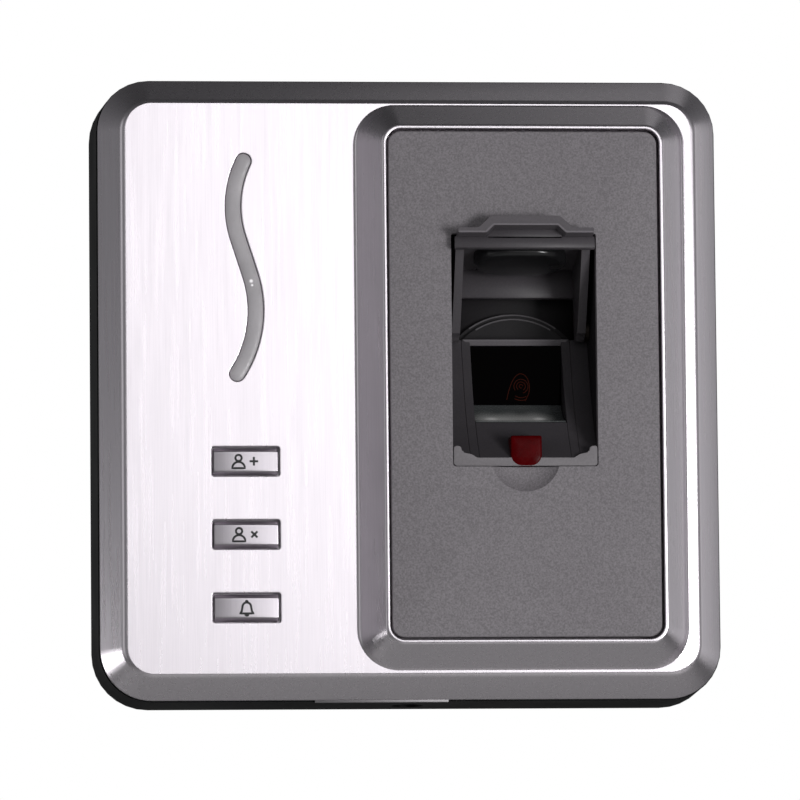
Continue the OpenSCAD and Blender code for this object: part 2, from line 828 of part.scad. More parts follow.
module cell_holder() color([0.9, 0.9, 0.88])
    difference() {
        post(0, -30, 7.2, board_front_y, board_front_y - 3.2);
        post(0, -30, 6.3, board_front_y - 0.8, board_front_y - 4);
    }

module backup_cell() color([0.78, 0.78, 0.8])
    post(0, -30, 6.2, board_front_y - 0.8, board_front_y - 2.9);

// Row of headers on the back of the board, where the site wiring plugs in
module wire_headers() color([0.93, 0.92, 0.88])
    for (i = [0 : 2])
        translate([-37.6 + i * 11, 0, header_z])
            difference() {
                box([0, board_back_y, -3], [9.6, -2.4, 3]);
                box([1, board_back_y + 1.4, -2], [8.6, -2, 2]);
            }

module tamper_switch() color([0.15, 0.15, 0.16])
    translate([tamper_at[0], 0, tamper_at[1]])
        difference() {
            box([-3, board_back_y, -3], [3, floor_y - 0.4, 3]);
            post(0, 0, 1.56, 0, board_back_y + 0.2);
        }

module tamper_plunger() color([0.85, 0.3, 0.1])
    post(tamper_at[0], tamper_at[1], 1.5, -plate_t - 0.02, board_back_y + 1.2);

module board_screws() color([0.6, 0.6, 0.62])
    for (p = board_posts) {
        post(p[0], p[1], screw_r, floor_y - 0.5, board_front_y);
        post(p[0], p[1], 2.2, board_front_y, board_front_y - 1.3);
    }

front_fascia();
base_shell();
fascia_gasket();
sensor_panel();
finger_guide();
sensor_glass();
lower_glass();
red_indicator();
indicator_led();
sensor_prism();
sensor_housing();
camera_lens();
image_board();
backlight_leds();
ribbon_cable();
hinge_pins();
friction_washers();
hood_flap();
hood_pad();
guide_screws();
light_guide();
status_leds();
key_board();
key_switches();
key_board_screws();
key_enroll();
key_delete();
key_bell();
actuator_enroll();
actuator_delete();
actuator_bell();
main_board();
processor();
flash_memory();
power_inductor();
capacitors();
relay();
buzzer();
cell_holder();
backup_cell();
wire_headers();
tamper_switch();
tamper_plunger();
board_screws();
fascia_screws();
wall_bracket();
locking_screw();
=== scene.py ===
"""Looks of the wall-mounted fingerprint terminal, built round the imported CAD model."""

import json
import math

import bmesh
import bpy
from mathutils import Matrix, Vector


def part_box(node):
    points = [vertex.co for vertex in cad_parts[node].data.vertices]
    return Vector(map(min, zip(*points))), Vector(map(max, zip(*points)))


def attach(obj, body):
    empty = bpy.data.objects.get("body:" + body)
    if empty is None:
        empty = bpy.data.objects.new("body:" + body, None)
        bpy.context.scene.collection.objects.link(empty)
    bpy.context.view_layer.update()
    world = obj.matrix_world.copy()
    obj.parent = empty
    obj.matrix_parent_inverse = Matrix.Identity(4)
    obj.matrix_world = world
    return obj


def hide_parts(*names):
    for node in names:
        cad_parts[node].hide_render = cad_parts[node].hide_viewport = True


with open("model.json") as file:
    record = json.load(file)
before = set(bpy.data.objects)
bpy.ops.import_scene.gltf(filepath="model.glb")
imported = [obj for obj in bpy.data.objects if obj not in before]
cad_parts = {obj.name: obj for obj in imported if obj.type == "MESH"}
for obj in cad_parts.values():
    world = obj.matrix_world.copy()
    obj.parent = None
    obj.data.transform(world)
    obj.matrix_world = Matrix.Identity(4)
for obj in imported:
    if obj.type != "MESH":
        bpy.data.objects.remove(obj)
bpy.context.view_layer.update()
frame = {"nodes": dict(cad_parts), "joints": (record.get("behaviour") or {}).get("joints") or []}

MM = 0.001


# ---------- sizes, in millimetres, read from the CAD nodes ----------

def node_box(name):
    """Lowest and highest corner of a CAD node, in millimetres."""
    low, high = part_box(name)
    return low / MM, high / MM


fascia_low, fascia_high = node_box("front_fascia")
base_low = node_box("base_shell")[0]
panel_low, panel_high = node_box("sensor_panel")
key_box = {name: node_box(name) for name in ("key_enroll", "key_delete", "key_bell")}

FASCIA_W = fascia_high.x - fascia_low.x
FASCIA_R = 8.6
EDGE_BACK = base_low.y
EDGE_Y = EDGE_BACK - 1
BEVEL_W, BEVEL_H = 4.2, 5.2
FIELD_Y = EDGE_Y - BEVEL_H
SKIN = 2
SKIN_Y = FIELD_Y + SKIN
LIP_Y = fascia_low.y
BEZEL_W, BEZEL_H, BEZEL_R = 55, 94.5, 6.6
SLOPE_W, LIP_W = 3.95, 0.65
PANEL_Y = panel_low.y
BAY_X = (panel_low.x + panel_high.x) / 2
PANEL_W = BEZEL_W - 2 * (SLOPE_W + LIP_W + 0.4)
PANEL_H = BEZEL_H - 2 * (SLOPE_W + LIP_W + 0.4)
COLLAR_Y = LIP_Y + 3.3
hood_joint = next(j for j in frame["joints"] if j["name"] == "hood_hinge")
PIVOT = Vector(hood_joint["pos_m"]) / MM
HOOD_TRAVEL = hood_joint["range_deg"][1]


# ---------- outlines: lists of (x, z) ----------

def arc(centre, radius, start, end, steps):
    """Points on an arc, angles in degrees."""
    angles = [math.radians(start + (end - start) * i / steps) for i in range(steps + 1)]
    return [(centre[0] + radius * math.cos(a), centre[1] + radius * math.sin(a)) for a in angles]


def rounded(width, height, radius, centre=(0, 0), steps=10):
    """A rectangle with round corners, anticlockwise."""
    radius = max(radius, 0.02)
    dx, dz = width / 2 - radius, height / 2 - radius
    points = []
    for sx, sz, start in ((1, 1, 0), (-1, 1, 90), (-1, -1, 180), (1, -1, 270)):
        corner = (centre[0] + sx * dx, centre[1] + sz * dz)
        points += arc(corner, radius, start, start + 90, steps)
    return points


def soften(points, steps=4):
    """Rounds the corners of an open path of (a, b, radius) and returns (a, b) points."""
    path = [points[0][:2]]
    for before, here, after in zip(points, points[1:], points[2:]):
        corner = Vector(here[:2])
        to_before = (Vector(before[:2]) - corner)
        to_after = (Vector(after[:2]) - corner)
        radius = here[2] if len(here) > 2 else 0
        if not radius:
            path.append(tuple(corner))
            continue
        half = to_before.angle(to_after) / 2
        reach = min(radius / math.tan(half), to_before.length * 0.49, to_after.length * 0.49)
        radius = reach * math.tan(half)
        to_before.normalize()
        to_after.normalize()
        middle = corner + (to_before + to_after).normalized() * radius / math.sin(half)
        first, last = corner + to_before * reach - middle, corner + to_after * reach - middle
        turn = first.angle_signed(last)
        for i in range(steps + 1):
            path.append(tuple(middle + Matrix.Rotation(-turn * i / steps, 2) @ first))
    path.append(points[-1][:2])
    return path


# ---------- mesh building, in millimetres ----------

def ring(bm, outline, y):
    """A loop of vertices on the plane at depth y."""
    return [bm.verts.new((x, y, z)) for x, z in outline]


def bridge(bm, one, two):
    """Quads between two rings with the same number of points."""
    count = len(one)
    for i in range(count):
        j = (i + 1) % count
        bm.faces.new((one[i], one[j], two[j], two[i]))


def fill(bm, rings):
    """Flat faces inside the first ring and outside the others."""
    edges = []
    for loop in rings:
        for i, vertex in enumerate(loop):
            after = loop[(i + 1) % len(loop)]
            edge = bm.edges.get((vertex, after)) or bm.edges.new((vertex, after))
            edges.append(edge)
    bmesh.ops.triangle_fill(bm, use_beauty=True, edges=edges)


def loft(bm, outline_at, path):
    """Rings along a path of (inset, y), joined by quads. Returns the first and last ring."""
    rings = [ring(bm, outline_at(inset), y) for inset, y in path]
    for one, two in zip(rings, rings[1:]):
        bridge(bm, one, two)
    return rings[0], rings[-1]


def round_edges(obj, width, angle=32):
    """Small rounding of every sharp edge; width in millimetres."""
    rounding = obj.modifiers.new("edges", "BEVEL")
    rounding.width = width * MM
    rounding.segments = 3
    rounding.limit_method = "ANGLE"
    rounding.angle_limit = math.radians(angle)
    rounding.harden_normals = True


def finished(name, bm, material, body, replaces=(), sharp=35, place=None, bevel=0,
             weld=True):
    """Turns a mesh in millimetres into a piece that rides on a body."""
    if weld:
        bmesh.ops.remove_doubles(bm, verts=bm.verts, dist=0.0005)
    bmesh.ops.recalc_face_normals(bm, faces=bm.faces)
    if place is not None:
        bm.transform(place)
    bm.transform(Matrix.Scale(MM, 4))
    mesh = bpy.data.meshes.new(name)
    bm.to_mesh(mesh)
    bm.free()
    mesh.polygons.foreach_set("use_smooth", [True] * len(mesh.polygons))
    mesh.set_sharp_from_angle(angle=math.radians(sharp))
    mesh.materials.append(material)
    piece = bpy.data.objects.new(name, mesh)
    bpy.context.scene.collection.objects.link(piece)
    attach(piece, body)
    if replaces:
        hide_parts(*replaces)
    if bevel:
        round_edges(piece, bevel, sharp)
    return piece


def prism(bm, outline, y_back, y_front, edge=0.15, steps=3):
    """A closed slab with its outline facing -Y and its front edge rounded."""
    before = set(bm.verts)
    back = ring(bm, outline, y_back)
    front = ring(bm, outline, y_front)
    bridge(bm, back, front)
    bm.faces.new(back)
    face = bm.faces.new(front)
    if edge:
        bmesh.ops.bevel(bm, geom=list(face.edges), offset=edge, segments=steps,
                        affect="EDGES", profile=0.5)
    return [v for v in bm.verts if v not in before]


def block(bm, low, high, edge=0.15):
    """A box with rounded edges."""
    before = set(bm.verts)
    made = bmesh.ops.create_cube(bm, size=1)["verts"]
    size = Vector(high) - Vector(low)
    bmesh.ops.scale(bm, vec=size, verts=made)
    bmesh.ops.translate(bm, vec=(Vector(high) + Vector(low)) / 2, verts=made)
    edges = list({e for v in made for e in v.link_edges})
    bmesh.ops.bevel(bm, geom=edges, offset=edge, segments=2, affect="EDGES", profile=0.5)
    return [v for v in bm.verts if v not in before]


# ---------- materials ----------

class Look:
    """A Principled material with helpers for procedural detail."""

    def __init__(self, name, color, roughness, **sockets):
        self.material = bpy.data.materials.new(name)
        self.material.use_nodes = True
        self.tree = self.material.node_tree
        self.shader = self.tree.nodes["Principled BSDF"]
        self.shader.inputs["Base Color"].default_value = (*color, 1)
        self.shader.inputs["Roughness"].default_value = roughness
        for socket, value in sockets.items():
            self.shader.inputs[socket.replace("_", " ")].default_value = value
        self.color = color
        self.height = None

    def node(self, kind, **values):
        made = self.tree.nodes.new(kind)
        for key, value in values.items():
            if key in made.inputs:
                made.inputs[key].default_value = value
            else:
                setattr(made, key, value)
        return made

    def link(self, source, target):
        self.tree.links.new(source, target)

    def noise(self, per_metre, detail=3, roughness=0.6):
        """Noise in object space; per_metre is its frequency along X, Y and Z."""
        where = self.node("ShaderNodeTexCoord")
        scaled = self.node("ShaderNodeMapping")
        scaled.inputs["Scale"].default_value = per_metre
        self.link(where.outputs["Object"], scaled.inputs["Vector"])
        noise = self.node("ShaderNodeTexNoise", Scale=1, Detail=detail, Roughness=roughness)
        self.link(scaled.outputs["Vector"], noise.inputs["Vector"])
        return noise.outputs["Fac"]

    def vary_color(self, source, dark, light, low=0.35, high=0.65):
        """Base colour runs from dark to light times the look's own colour."""
        ramp = self.node("ShaderNodeValToRGB")
        ramp.color_ramp.elements[0].position = low
        ramp.color_ramp.elements[1].position = high
        ramp.color_ramp.elements[0].color = (*[c * dark for c in self.color], 1)
        ramp.color_ramp.elements[1].color = (*[min(1, c * light) for c in self.color], 1)
        self.link(source, ramp.inputs["Fac"])
        self.link(ramp.outputs["Color"], self.shader.inputs["Base Color"])
        return self

    def painted_glow(self, color, strength, spots):
        """Painted glow: soft emissive spots that stand in for glints; each is its centre in metres and
        its radius in millimetres.
        """
        where = self.node("ShaderNodeTexCoord")
        total = None
        for centre, radius in spots:
            reach = self.node("ShaderNodeVectorMath", operation="DISTANCE")
            reach.inputs[1].default_value = centre
            self.link(where.outputs["Object"], reach.inputs[0])
            fade = self.node("ShaderNodeMapRange")
            fade.interpolation_type = "SMOOTHSTEP"
            fade.inputs["From Min"].default_value = 0
            fade.inputs["From Max"].default_value = radius * MM
            fade.inputs["To Min"].default_value = strength
            fade.inputs["To Max"].default_value = 0
            self.link(reach.outputs["Value"], fade.inputs["Value"])
            if total is None:
                total = fade.outputs["Result"]
                continue
            both = self.node("ShaderNodeMath", operation="ADD")
            self.link(total, both.inputs[0])
            self.link(fade.outputs["Result"], both.inputs[1])
            total = both.outputs["Value"]
        self.shader.inputs["Emission Color"].default_value = (*color, 1)
        self.link(total, self.shader.inputs["Emission Strength"])
        return self

    def vary_roughness(self, source, low, high):
        spread = self.node("ShaderNodeMapRange")
        spread.inputs["From Min"].default_value = 0.3
        spread.inputs["From Max"].default_value = 0.7
        spread.inputs["To Min"].default_value = low
        spread.inputs["To Max"].default_value = high
        self.link(source, spread.inputs["Value"])
        self.link(spread.outputs["Result"], self.shader.inputs["Roughness"])
        return self

    def bump(self, source, height_mm, strength=1.0):
        bump = self.node("ShaderNodeBump")
        bump.inputs["Strength"].default_value = strength
        bump.inputs["Distance"].default_value = height_mm * MM
        self.link(source, bump.inputs["Height"])
        if self.height is not None:
            self.link(self.height, bump.inputs["Normal"])
        self.height = bump.outputs["Normal"]
        self.link(self.height, self.shader.inputs["Normal"])
        return self


def brushed_look(name, color, roughness, grain=(5200, 5200, 90), depth=0.004):
    """Metal brushed along Z."""
    look = Look(name, color, roughness, Metallic=1.0)
    fine = look.noise(grain, detail=3, roughness=0.6)
    coarse = look.noise((grain[0] / 4, grain[1] / 4, grain[2] / 2), detail=2)
    look.vary_color(fine, 0.96, 1.03, 0.3, 0.7)
    look.vary_roughness(coarse, roughness - 0.015, roughness + 0.02)
    look.bump(fine, depth)
    return look.material


def plastic_look(name, color, roughness, grain_mm=0.35, depth=0.02, spread=0.12, **sockets):
    """Moulded plastic with a fine spark-eroded texture."""
    look = Look(name, color, roughness, **sockets)
    rate = 1 / (grain_mm * MM)
    grain = look.noise((rate, rate, rate), detail=3, roughness=0.55)
    broad = look.noise((60, 60, 60), detail=2)
    look.vary_color(grain, 1 - spread, 1 + spread)
    look.vary_roughness(broad, roughness - 0.04, roughness + 0.05)
    look.bump(grain, depth)
    return look.material


def gloss_look(name, color, roughness=0.12, spread=0.06, painted_glow=None, **sockets):
    """Polished plastic or lacquer, with faint clouding and micro-scratches; painted_glow adds painted
    glints as emissive spots.
    """
    look = Look(name, color, roughness, **sockets)
    cloud = look.noise((300, 300, 300), detail=3)
    look.vary_color(cloud, 1 - spread, 1 + spread)
    look.vary_roughness(look.noise((2500, 2500, 2500), detail=2), roughness * 0.7, roughness * 1.5)
    look.bump(look.noise((900, 900, 900), detail=2), 0.004)
    if painted_glow:
        look.painted_glow(*painted_glow)
    return look.material


brushed_metal = brushed_look("brushed_metal", (0.82, 0.772, 0.822), 0.28, depth=0.003)
# Painted shade: a darker copy of the fascia's brushed metal for its release tongue.
painted_shade_lip_metal = brushed_look("painted_shade_lip_metal", (0.28, 0.27, 0.28), 0.5)
grey_panel = plastic_look("grey_panel", (0.256, 0.237, 0.255), 0.62, grain_mm=0.27, depth=0.035,
                          spread=0.2)
dark_grey = plastic_look("dark_grey", (0.085, 0.08, 0.085), 0.42, grain_mm=0.3, depth=0.006, spread=0.06)
hood_grey = plastic_look("hood_grey", (0.092, 0.084, 0.093), 0.42, grain_mm=0.3, depth=0.006,
                         spread=0.06, Specular_IOR_Level=0.35)
# Painted highlight: the light grey of the line along the hood's inner front edge.
painted_edge_highlight = plastic_look("painted_edge_highlight", (0.24, 0.222, 0.242), 0.4, grain_mm=0.3, depth=0.006,
                         spread=0.06)
# Painted light: a lighter copy of the dark plastic, for the hood's front face and the chamfer over the
# window, which face the lamps.
painted_lit_grey = plastic_look("painted_lit_grey", (0.155, 0.143, 0.156), 0.42, grain_mm=0.3, depth=0.006,
                          spread=0.06, Specular_IOR_Level=0.35)
# Painted shade: a much darker copy of the guide's plastic for the deep walls and back wall of the bay.
painted_cavity_shade = plastic_look("painted_cavity_shade", (0.018, 0.016, 0.0184), 0.5, grain_mm=0.3, depth=0.004,
                           spread=0.06, Specular_IOR_Level=0.2)
guide_dark = plastic_look("guide_dark", (0.068, 0.062, 0.069), 0.45, grain_mm=0.3, depth=0.004,
                          spread=0.06, Specular_IOR_Level=0.3)
guide_front = plastic_look("guide_front", (0.235, 0.218, 0.233), 0.5, grain_mm=0.3,
                           depth=0.006, spread=0.06)
black_plastic = plastic_look("black_plastic", (0.004, 0.004, 0.0042), 0.5, grain_mm=0.3,
                             depth=0.012, spread=0.25, Specular_IOR_Level=0.08)
inner_black = plastic_look("inner_black", (0.02, 0.02, 0.021), 0.5, grain_mm=0.3, depth=0.01)
black_rubber = plastic_look("black_rubber", (0.02, 0.02, 0.02), 0.75, grain_mm=0.2, depth=0.02)
soft_pad = plastic_look("soft_pad", (0.012, 0.012, 0.013), 0.24, grain_mm=1.2, depth=0.01)
window_glass = gloss_look("window_glass", (0.0008, 0.0004, 0.0006), 0.06,
                          Specular_IOR_Level=0.006)
# Painted glints: five emissive spots on the ledge glass, two small and three wide, stand in for its
# glints and bright band.
LEDGE_Y, LEDGE_Z = PANEL_Y + 9.4, -5.1
smoked_glass = gloss_look(
    "smoked_glass", (0.085, 0.092, 0.093), 0.22, Specular_IOR_Level=0.4,
    painted_glow=((1, 0.99, 0.98), 0.1,
          [(Vector((BAY_X + u, LEDGE_Y, LEDGE_Z)) * MM, r)
           for u, r in ((-4.7, 1.6), (3.4, 1.5), (-5.2, 4), (-1.5, 4), (2.6, 4))]))
red_lens = gloss_look("red_lens", (0.085, 0.0004, 0.0015), 0.24, spread=0.2,
                      Specular_IOR_Level=0.04)
# Painted glint: two small emissive spots on the status light's lens.
smoky_light = gloss_look("smoky_light", (0.55, 0.525, 0.55), 0.34,
                         painted_glow=((1, 0.98, 1), 0.75, [(Vector((-26.75, FIELD_Y, 17.7)) * MM, 0.45),
                                                    (Vector((-26.6, FIELD_Y, 17.0)) * MM, 0.3)]))
window_light = gloss_look("window_light", (0.03, 0.004, 0.002), 0.3, Specular_IOR_Level=0.02,
                          Emission_Color=(1, 0.24, 0.1, 1), Emission_Strength=0.011)
key_metal = brushed_look("key_metal", (0.56, 0.525, 0.565), 0.3, grain=(5200, 5200, 90), depth=0.002)
legend_ink = plastic_look("legend_ink", (0.02, 0.02, 0.022), 0.5, grain_mm=0.1, depth=0.004)
zinc_plate = brushed_look("zinc_plate", (0.62, 0.62, 0.60), 0.42, grain=(600, 600, 600), depth=0.004)
screw_steel = brushed_look("screw_steel", (0.58, 0.58, 0.60), 0.3, grain=(2500, 2500, 2500), depth=0.003)
spring_bronze = brushed_look("spring_bronze", (0.05, 0.042, 0.036), 0.5, grain=(900, 900, 900))
board_green = gloss_look("board_green", (0.02, 0.14, 0.06), 0.3, spread=0.2)
clear_glass = gloss_look("clear_glass", (0.75, 0.85, 0.88), 0.05, Transmission_Weight=0.85)
led_epoxy = gloss_look("led_epoxy", (0.75, 0.22, 0.18), 0.15)
flex_film = gloss_look("flex_film", (0.55, 0.36, 0.12), 0.3)
ferrite = plastic_look("ferrite", (0.05, 0.05, 0.055), 0.6)
capacitor_sleeve = gloss_look("capacitor_sleeve", (0.03, 0.04, 0.1), 0.25)
relay_blue = gloss_look("relay_blue", (0.02, 0.09, 0.35), 0.28)
white_nylon = plastic_look("white_nylon", (0.72, 0.71, 0.66), 0.45, spread=0.04)
orange_plastic = plastic_look("orange_plastic", (0.6, 0.14, 0.03), 0.4)

NODE_LOOKS = {
    "fascia_gasket": black_rubber, "finger_guide": dark_grey, "sensor_glass": window_glass,
    "lower_glass": smoked_glass, "red_indicator": red_lens, "indicator_led": led_epoxy,
    "sensor_prism": clear_glass, "sensor_housing": inner_black, "camera_lens": inner_black,
    "image_board": board_green, "backlight_leds": led_epoxy, "ribbon_cable": flex_film,
    "hinge_pins": screw_steel, "friction_washers": spring_bronze, "hood_flap": dark_grey,
    "hood_pad": soft_pad, "guide_screws": screw_steel, "light_guide": smoky_light,
    "status_leds": led_epoxy, "key_board": board_green, "key_switches": inner_black,
    "key_board_screws": screw_steel, "key_enroll": key_metal, "key_delete": key_metal,
    "key_bell": key_metal, "actuator_enroll": inner_black, "actuator_delete": inner_black,
    "actuator_bell": inner_black, "main_board": board_green, "processor": inner_black,
    "flash_memory": inner_black, "power_inductor": ferrite, "capacitors": capacitor_sleeve,
    "relay": relay_blue, "buzzer": inner_black, "cell_holder": white_nylon,
    "backup_cell": screw_steel, "wire_headers": white_nylon, "tamper_switch": inner_black,
    "tamper_plunger": orange_plastic, "board_screws": screw_steel, "fascia_screws": screw_steel,
    "wall_bracket": zinc_plate, "locking_screw": screw_steel, "base_shell": black_plastic,
    "front_fascia": brushed_metal, "sensor_panel": grey_panel,
}
for node, look in NODE_LOOKS.items():
    cad = frame["nodes"][node]
    cad.data.materials.clear()
    cad.data.materials.append(look)


# ---------- fascia ----------

UPPER_C, UPPER_R, UPPER_END = Vector((-12.2, 30.2)), 17.5, 154
LOWER_C, LOWER_R, LOWER_END = Vector((-45.5, 12.9)), 19.5, -33.3
ACROSS = LOWER_C - UPPER_C
CROSS_ANGLE = math.degrees(math.atan2(ACROSS.y, ACROSS.x)) + 360
JOIN_ANGLE = CROSS_ANGLE - math.degrees(math.acos((UPPER_R + LOWER_R) / ACROSS.length))
LIGHT_W = 2.7


def light_outline(grow=0.0, steps=22):
    """The S-shaped slot of the status light, anticlockwise, grown by a margin all round."""
    half = LIGHT_W / 2 + grow
    down = JOIN_ANGLE - 180
    right = (arc(UPPER_C, UPPER_R - half, UPPER_END, JOIN_ANGLE, steps)
             + arc(LOWER_C, LOWER_R + half, down, LOWER_END, steps))
    left = (arc(UPPER_C, UPPER_R + half, UPPER_END, JOIN_ANGLE, steps)
            + arc(LOWER_C, LOWER_R - half, down, LOWER_END, steps))
    top = arc((0, 0), 1, UPPER_END, UPPER_END, 1)[0]
    low = arc((0, 0), 1, LOWER_END, LOWER_END, 1)[0]
    top_tip = UPPER_C + UPPER_R * Vector(top)
    low_tip = LOWER_C + LOWER_R * Vector(low)
    low_cap = arc(low_tip, half, LOWER_END, LOWER_END - 180, 14)
    top_cap = arc(top_tip, half, UPPER_END, UPPER_END - 180, 14)
    return right + low_cap[1:-1] + left[::-1] + top_cap[1:-1]


def fascia_outline(inset):
    """The fascia's outline; its flat field sits a little to the left and a little low."""
    size = FASCIA_W - 2 * inset
    lean = min(1, max(0, inset) / BEVEL_W)
    return rounded(size + 0.3 * lean, max(size, BEZEL_H + 0.9), FASCIA_R - 0.905 * inset,
                   centre=(-0.15 * lean, -0.1 * lean), steps=14)


def bezel_outline(inset):
    height = min(BEZEL_H - 2 * inset, BEZEL_H + 0.3)
    return rounded(BEZEL_W - 2 * inset, height, BEZEL_R - 0.89 * inset, centre=(BAY_X, 0),
                   steps=14)


def key_hole_outline(box):
    """Outline of the hole round one key, as a function of its inset."""
    low, high = box
    centre = ((low.x + high.x) / 2, (low.z + high.z) / 2)
    return lambda inset: rounded(11.4 - 2 * inset, 5.0 - 2 * inset, 0.45 - inset, centre, steps=5)


def build_fascia():
    """Metal cover with its outer bevel, raised bezel, key holes and light slot."""
    bm = bmesh.new()
    outer = soften([(6.0, SKIN_Y), (2.0, EDGE_Y), (2.0, EDGE_BACK, 0.1), (0, EDGE_BACK, 0.15),
                    (0, EDGE_Y, 0.6), (BEVEL_W - 0.25, FIELD_Y, 1.5), (BEVEL_W + 2, FIELD_Y)],
                   steps=6)
    outer[-1] = (BEVEL_W + 0.55, FIELD_Y)
    back_outer, front_outer = loft(bm, fascia_outline, outer)
    bezel = soften([(-1, FIELD_Y), (0, FIELD_Y, 0.9), (SLOPE_W, LIP_Y, 0.75),
                    (SLOPE_W + LIP_W, LIP_Y, 0.16), (SLOPE_W + LIP_W, COLLAR_Y),
                    (SLOPE_W - 0.35, COLLAR_Y), (1.35, SKIN_Y)])
    bezel[0] = (-0.5, FIELD_Y)
    front_bezel, back_bezel = loft(bm, bezel_outline, bezel)
    front, back = [front_outer, front_bezel], [back_outer, back_bezel]
    hole = soften([(-0.4, FIELD_Y), (0, FIELD_Y, 0.1), (0, SKIN_Y)])
    hole[0] = (-0.26, FIELD_Y)
    outlines = [key_hole_outline(box) for box in key_box.values()]
    outlines.append(lambda inset: light_outline(-inset))
    for outline in outlines:
        first, last = loft(bm, outline, hole)
        front.append(first)
        back.append(last)
    fill(bm, front)
    fill(bm, back)
    finished("fascia_cover", bm, brushed_metal, "housing", ["front_fascia"],
             sharp=28)


def build_release_lip():
    """A thin tongue of the fascia at the lower edge, where a tool lifts it off, in a darker copy of the
    fascia's metal: painted shade.
    """
    bm = bmesh.new()
    low_edge = -FASCIA_W / 2
    block(bm, (-16.2, EDGE_BACK - 0.8, low_edge - 0.42), (6.2, EDGE_BACK - 0.1, low_edge + 1), 0.1)
    finished("release_lip", bm, painted_shade_lip_metal, "housing", ["front_fascia"], sharp=30)


build_fascia()
build_release_lip()


# ---------- sensor panel ----------

def in_bay(u, depth, z):
    """A point given by its offset from the bay's middle, depth behind the panel and height."""
    return (BAY_X + u, PANEL_Y + depth, z)


BAY_HALF_W, BAY_LOW, BAY_TOP = 12.15, -13.85, 25.1
SCOOP_R, SCOOP_DEPTH, SCOOP_Z = 5.85, 1.5, -12.2


def dish_depth(u, z):
    """Depth of the finger scoop below the panel's face."""
    reach = (u * u + (z - SCOOP_Z) ** 2) / SCOOP_R ** 2
    return SCOOP_DEPTH * max(0, 1 - reach ** 2)


def build_panel():
    """Panel with the bay's opening and the finger scoop below it."""
    bm = bmesh.new()
    half_chord = math.sqrt(SCOOP_R ** 2 - (BAY_LOW - SCOOP_Z) ** 2)
    columns = 32
    chord = [-half_chord + 2 * half_chord * i / columns for i in range(columns + 1)]
    upper = soften([(12.15, 0), (BAY_HALF_W, BAY_TOP, 0.35), (8.3, BAY_TOP, 0.3),
                    (6, BAY_TOP + 2.3, 0.8), (-6, BAY_TOP + 2.3, 0.8), (-8.3, BAY_TOP, 0.3),
                    (-BAY_HALF_W, BAY_TOP, 0.35), (-BAY_HALF_W, BAY_LOW, 0.5),
                    (-half_chord - 0.4, BAY_LOW)])
    corner = soften([(half_chord + 0.4, BAY_LOW), (BAY_HALF_W, BAY_LOW, 0.5), (BAY_HALF_W, 0)])
    rim = [(u, z, 0) for u, z in upper] + [(u, BAY_LOW, dish_depth(u, BAY_LOW)) for u in chord]
    rim += [(u, z, 0) for u, z in corner[:-1]]
    top = [bm.verts.new(in_bay(u, d, z)) for u, z, d in rim]
    back = [bm.verts.new(in_bay(u, 2, z)) for u, z, _ in rim]
    bridge(bm, top, back)
    first = len(upper)
    rows = 14
    grid = [top[first:first + columns + 1]]
    for j in range(1, rows + 1):
        row = []
        for i, u in enumerate(chord):
            foot = SCOOP_Z - math.sqrt(max(0, SCOOP_R ** 2 - u * u))
            z = BAY_LOW + (foot - BAY_LOW) * j / rows
            edge = i in (0, columns)
            row.append(grid[0][i] if edge else bm.verts.new(in_bay(u, dish_depth(u, z), z)))
        grid.append(row)
    for one, two in zip(grid, grid[1:]):
        for i in range(columns):
            corners = []
            for v in (one[i], one[i + 1], two[i + 1], two[i]):
                if v not in corners:
                    corners.append(v)
            if len(corners) > 2:
                bm.faces.new(corners)
    face_ring = top[:first] + grid[-1] + top[first + columns + 1:]

    def outline(inset):
        return rounded(PANEL_W - 2 * inset, PANEL_H - 2 * inset, 2.1 - inset, (BAY_X, 0), steps=8)

    profile = [(1.5, PANEL_Y + 2), (1.5, COLLAR_Y + 1), (-1.1, COLLAR_Y + 1), (-1.1, COLLAR_Y),
               (0, COLLAR_Y)]
    profile += soften([(0, PANEL_Y + 1), (0, PANEL_Y, 0.22), (0.6, PANEL_Y)])[:-1]
    inner, outer = loft(bm, outline, profile)
    fill(bm, [outer, face_ring])
    fill(bm, [inner, back])
    finished("sensor_panel_cover", bm, grey_panel, "housing", ["sensor_panel"],
             sharp=30, bevel=0.12)


# ---------- finger guide ----------

def smooth_path(points, steps=6):
    """A Catmull-Rom curve through the points."""
    path = []
    ends = [points[0]] + list(points) + [points[-1]]
    for a, b, c, d in zip(ends, ends[1:], ends[2:], ends[3:]):
        for i in range(steps):
            t = i / steps
            path.append(tuple(0.5 * (2 * b[k] + (c[k] - a[k]) * t
                                     + (2 * a[k] - 5 * b[k] + 4 * c[k] - d[k]) * t * t
                                     + (3 * b[k] - a[k] - 3 * c[k] + d[k]) * t ** 3)
                              for k in range(2)))
    path.append(tuple(points[-1]))
    return path


def across(bm, section, low, high):
    """A closed bar along X with a section given as (depth, height)."""
    left = [bm.verts.new(in_bay(low, d, z)) for d, z in section]
    right = [bm.verts.new(in_bay(high, d, z)) for d, z in section]
    bridge(bm, left, right)
    bm.faces.new(left)
    bm.faces.new(right)


SEAT_LOW = [(0.3, -12.4), (3.6, -9.4), (5.4, -7.4), (6.6, -5.9)]
SEAT_HIGH = [(6.6, -5.9), (9.7, -1.3), (11.8, 3.0), (13.5, 6.8), (14.2, 8.75)]
LEDGE = [(6.6, -5.9), (8.6, -5.45), (10.4, -4.85), (12.3, -3.8), (13.9, -2.4)]
UNDER = [(8, -7.4), (4.8, -10.6), (1.9, -13), (0.3, -13.6)]
POCKET_HALF_W = 7.7


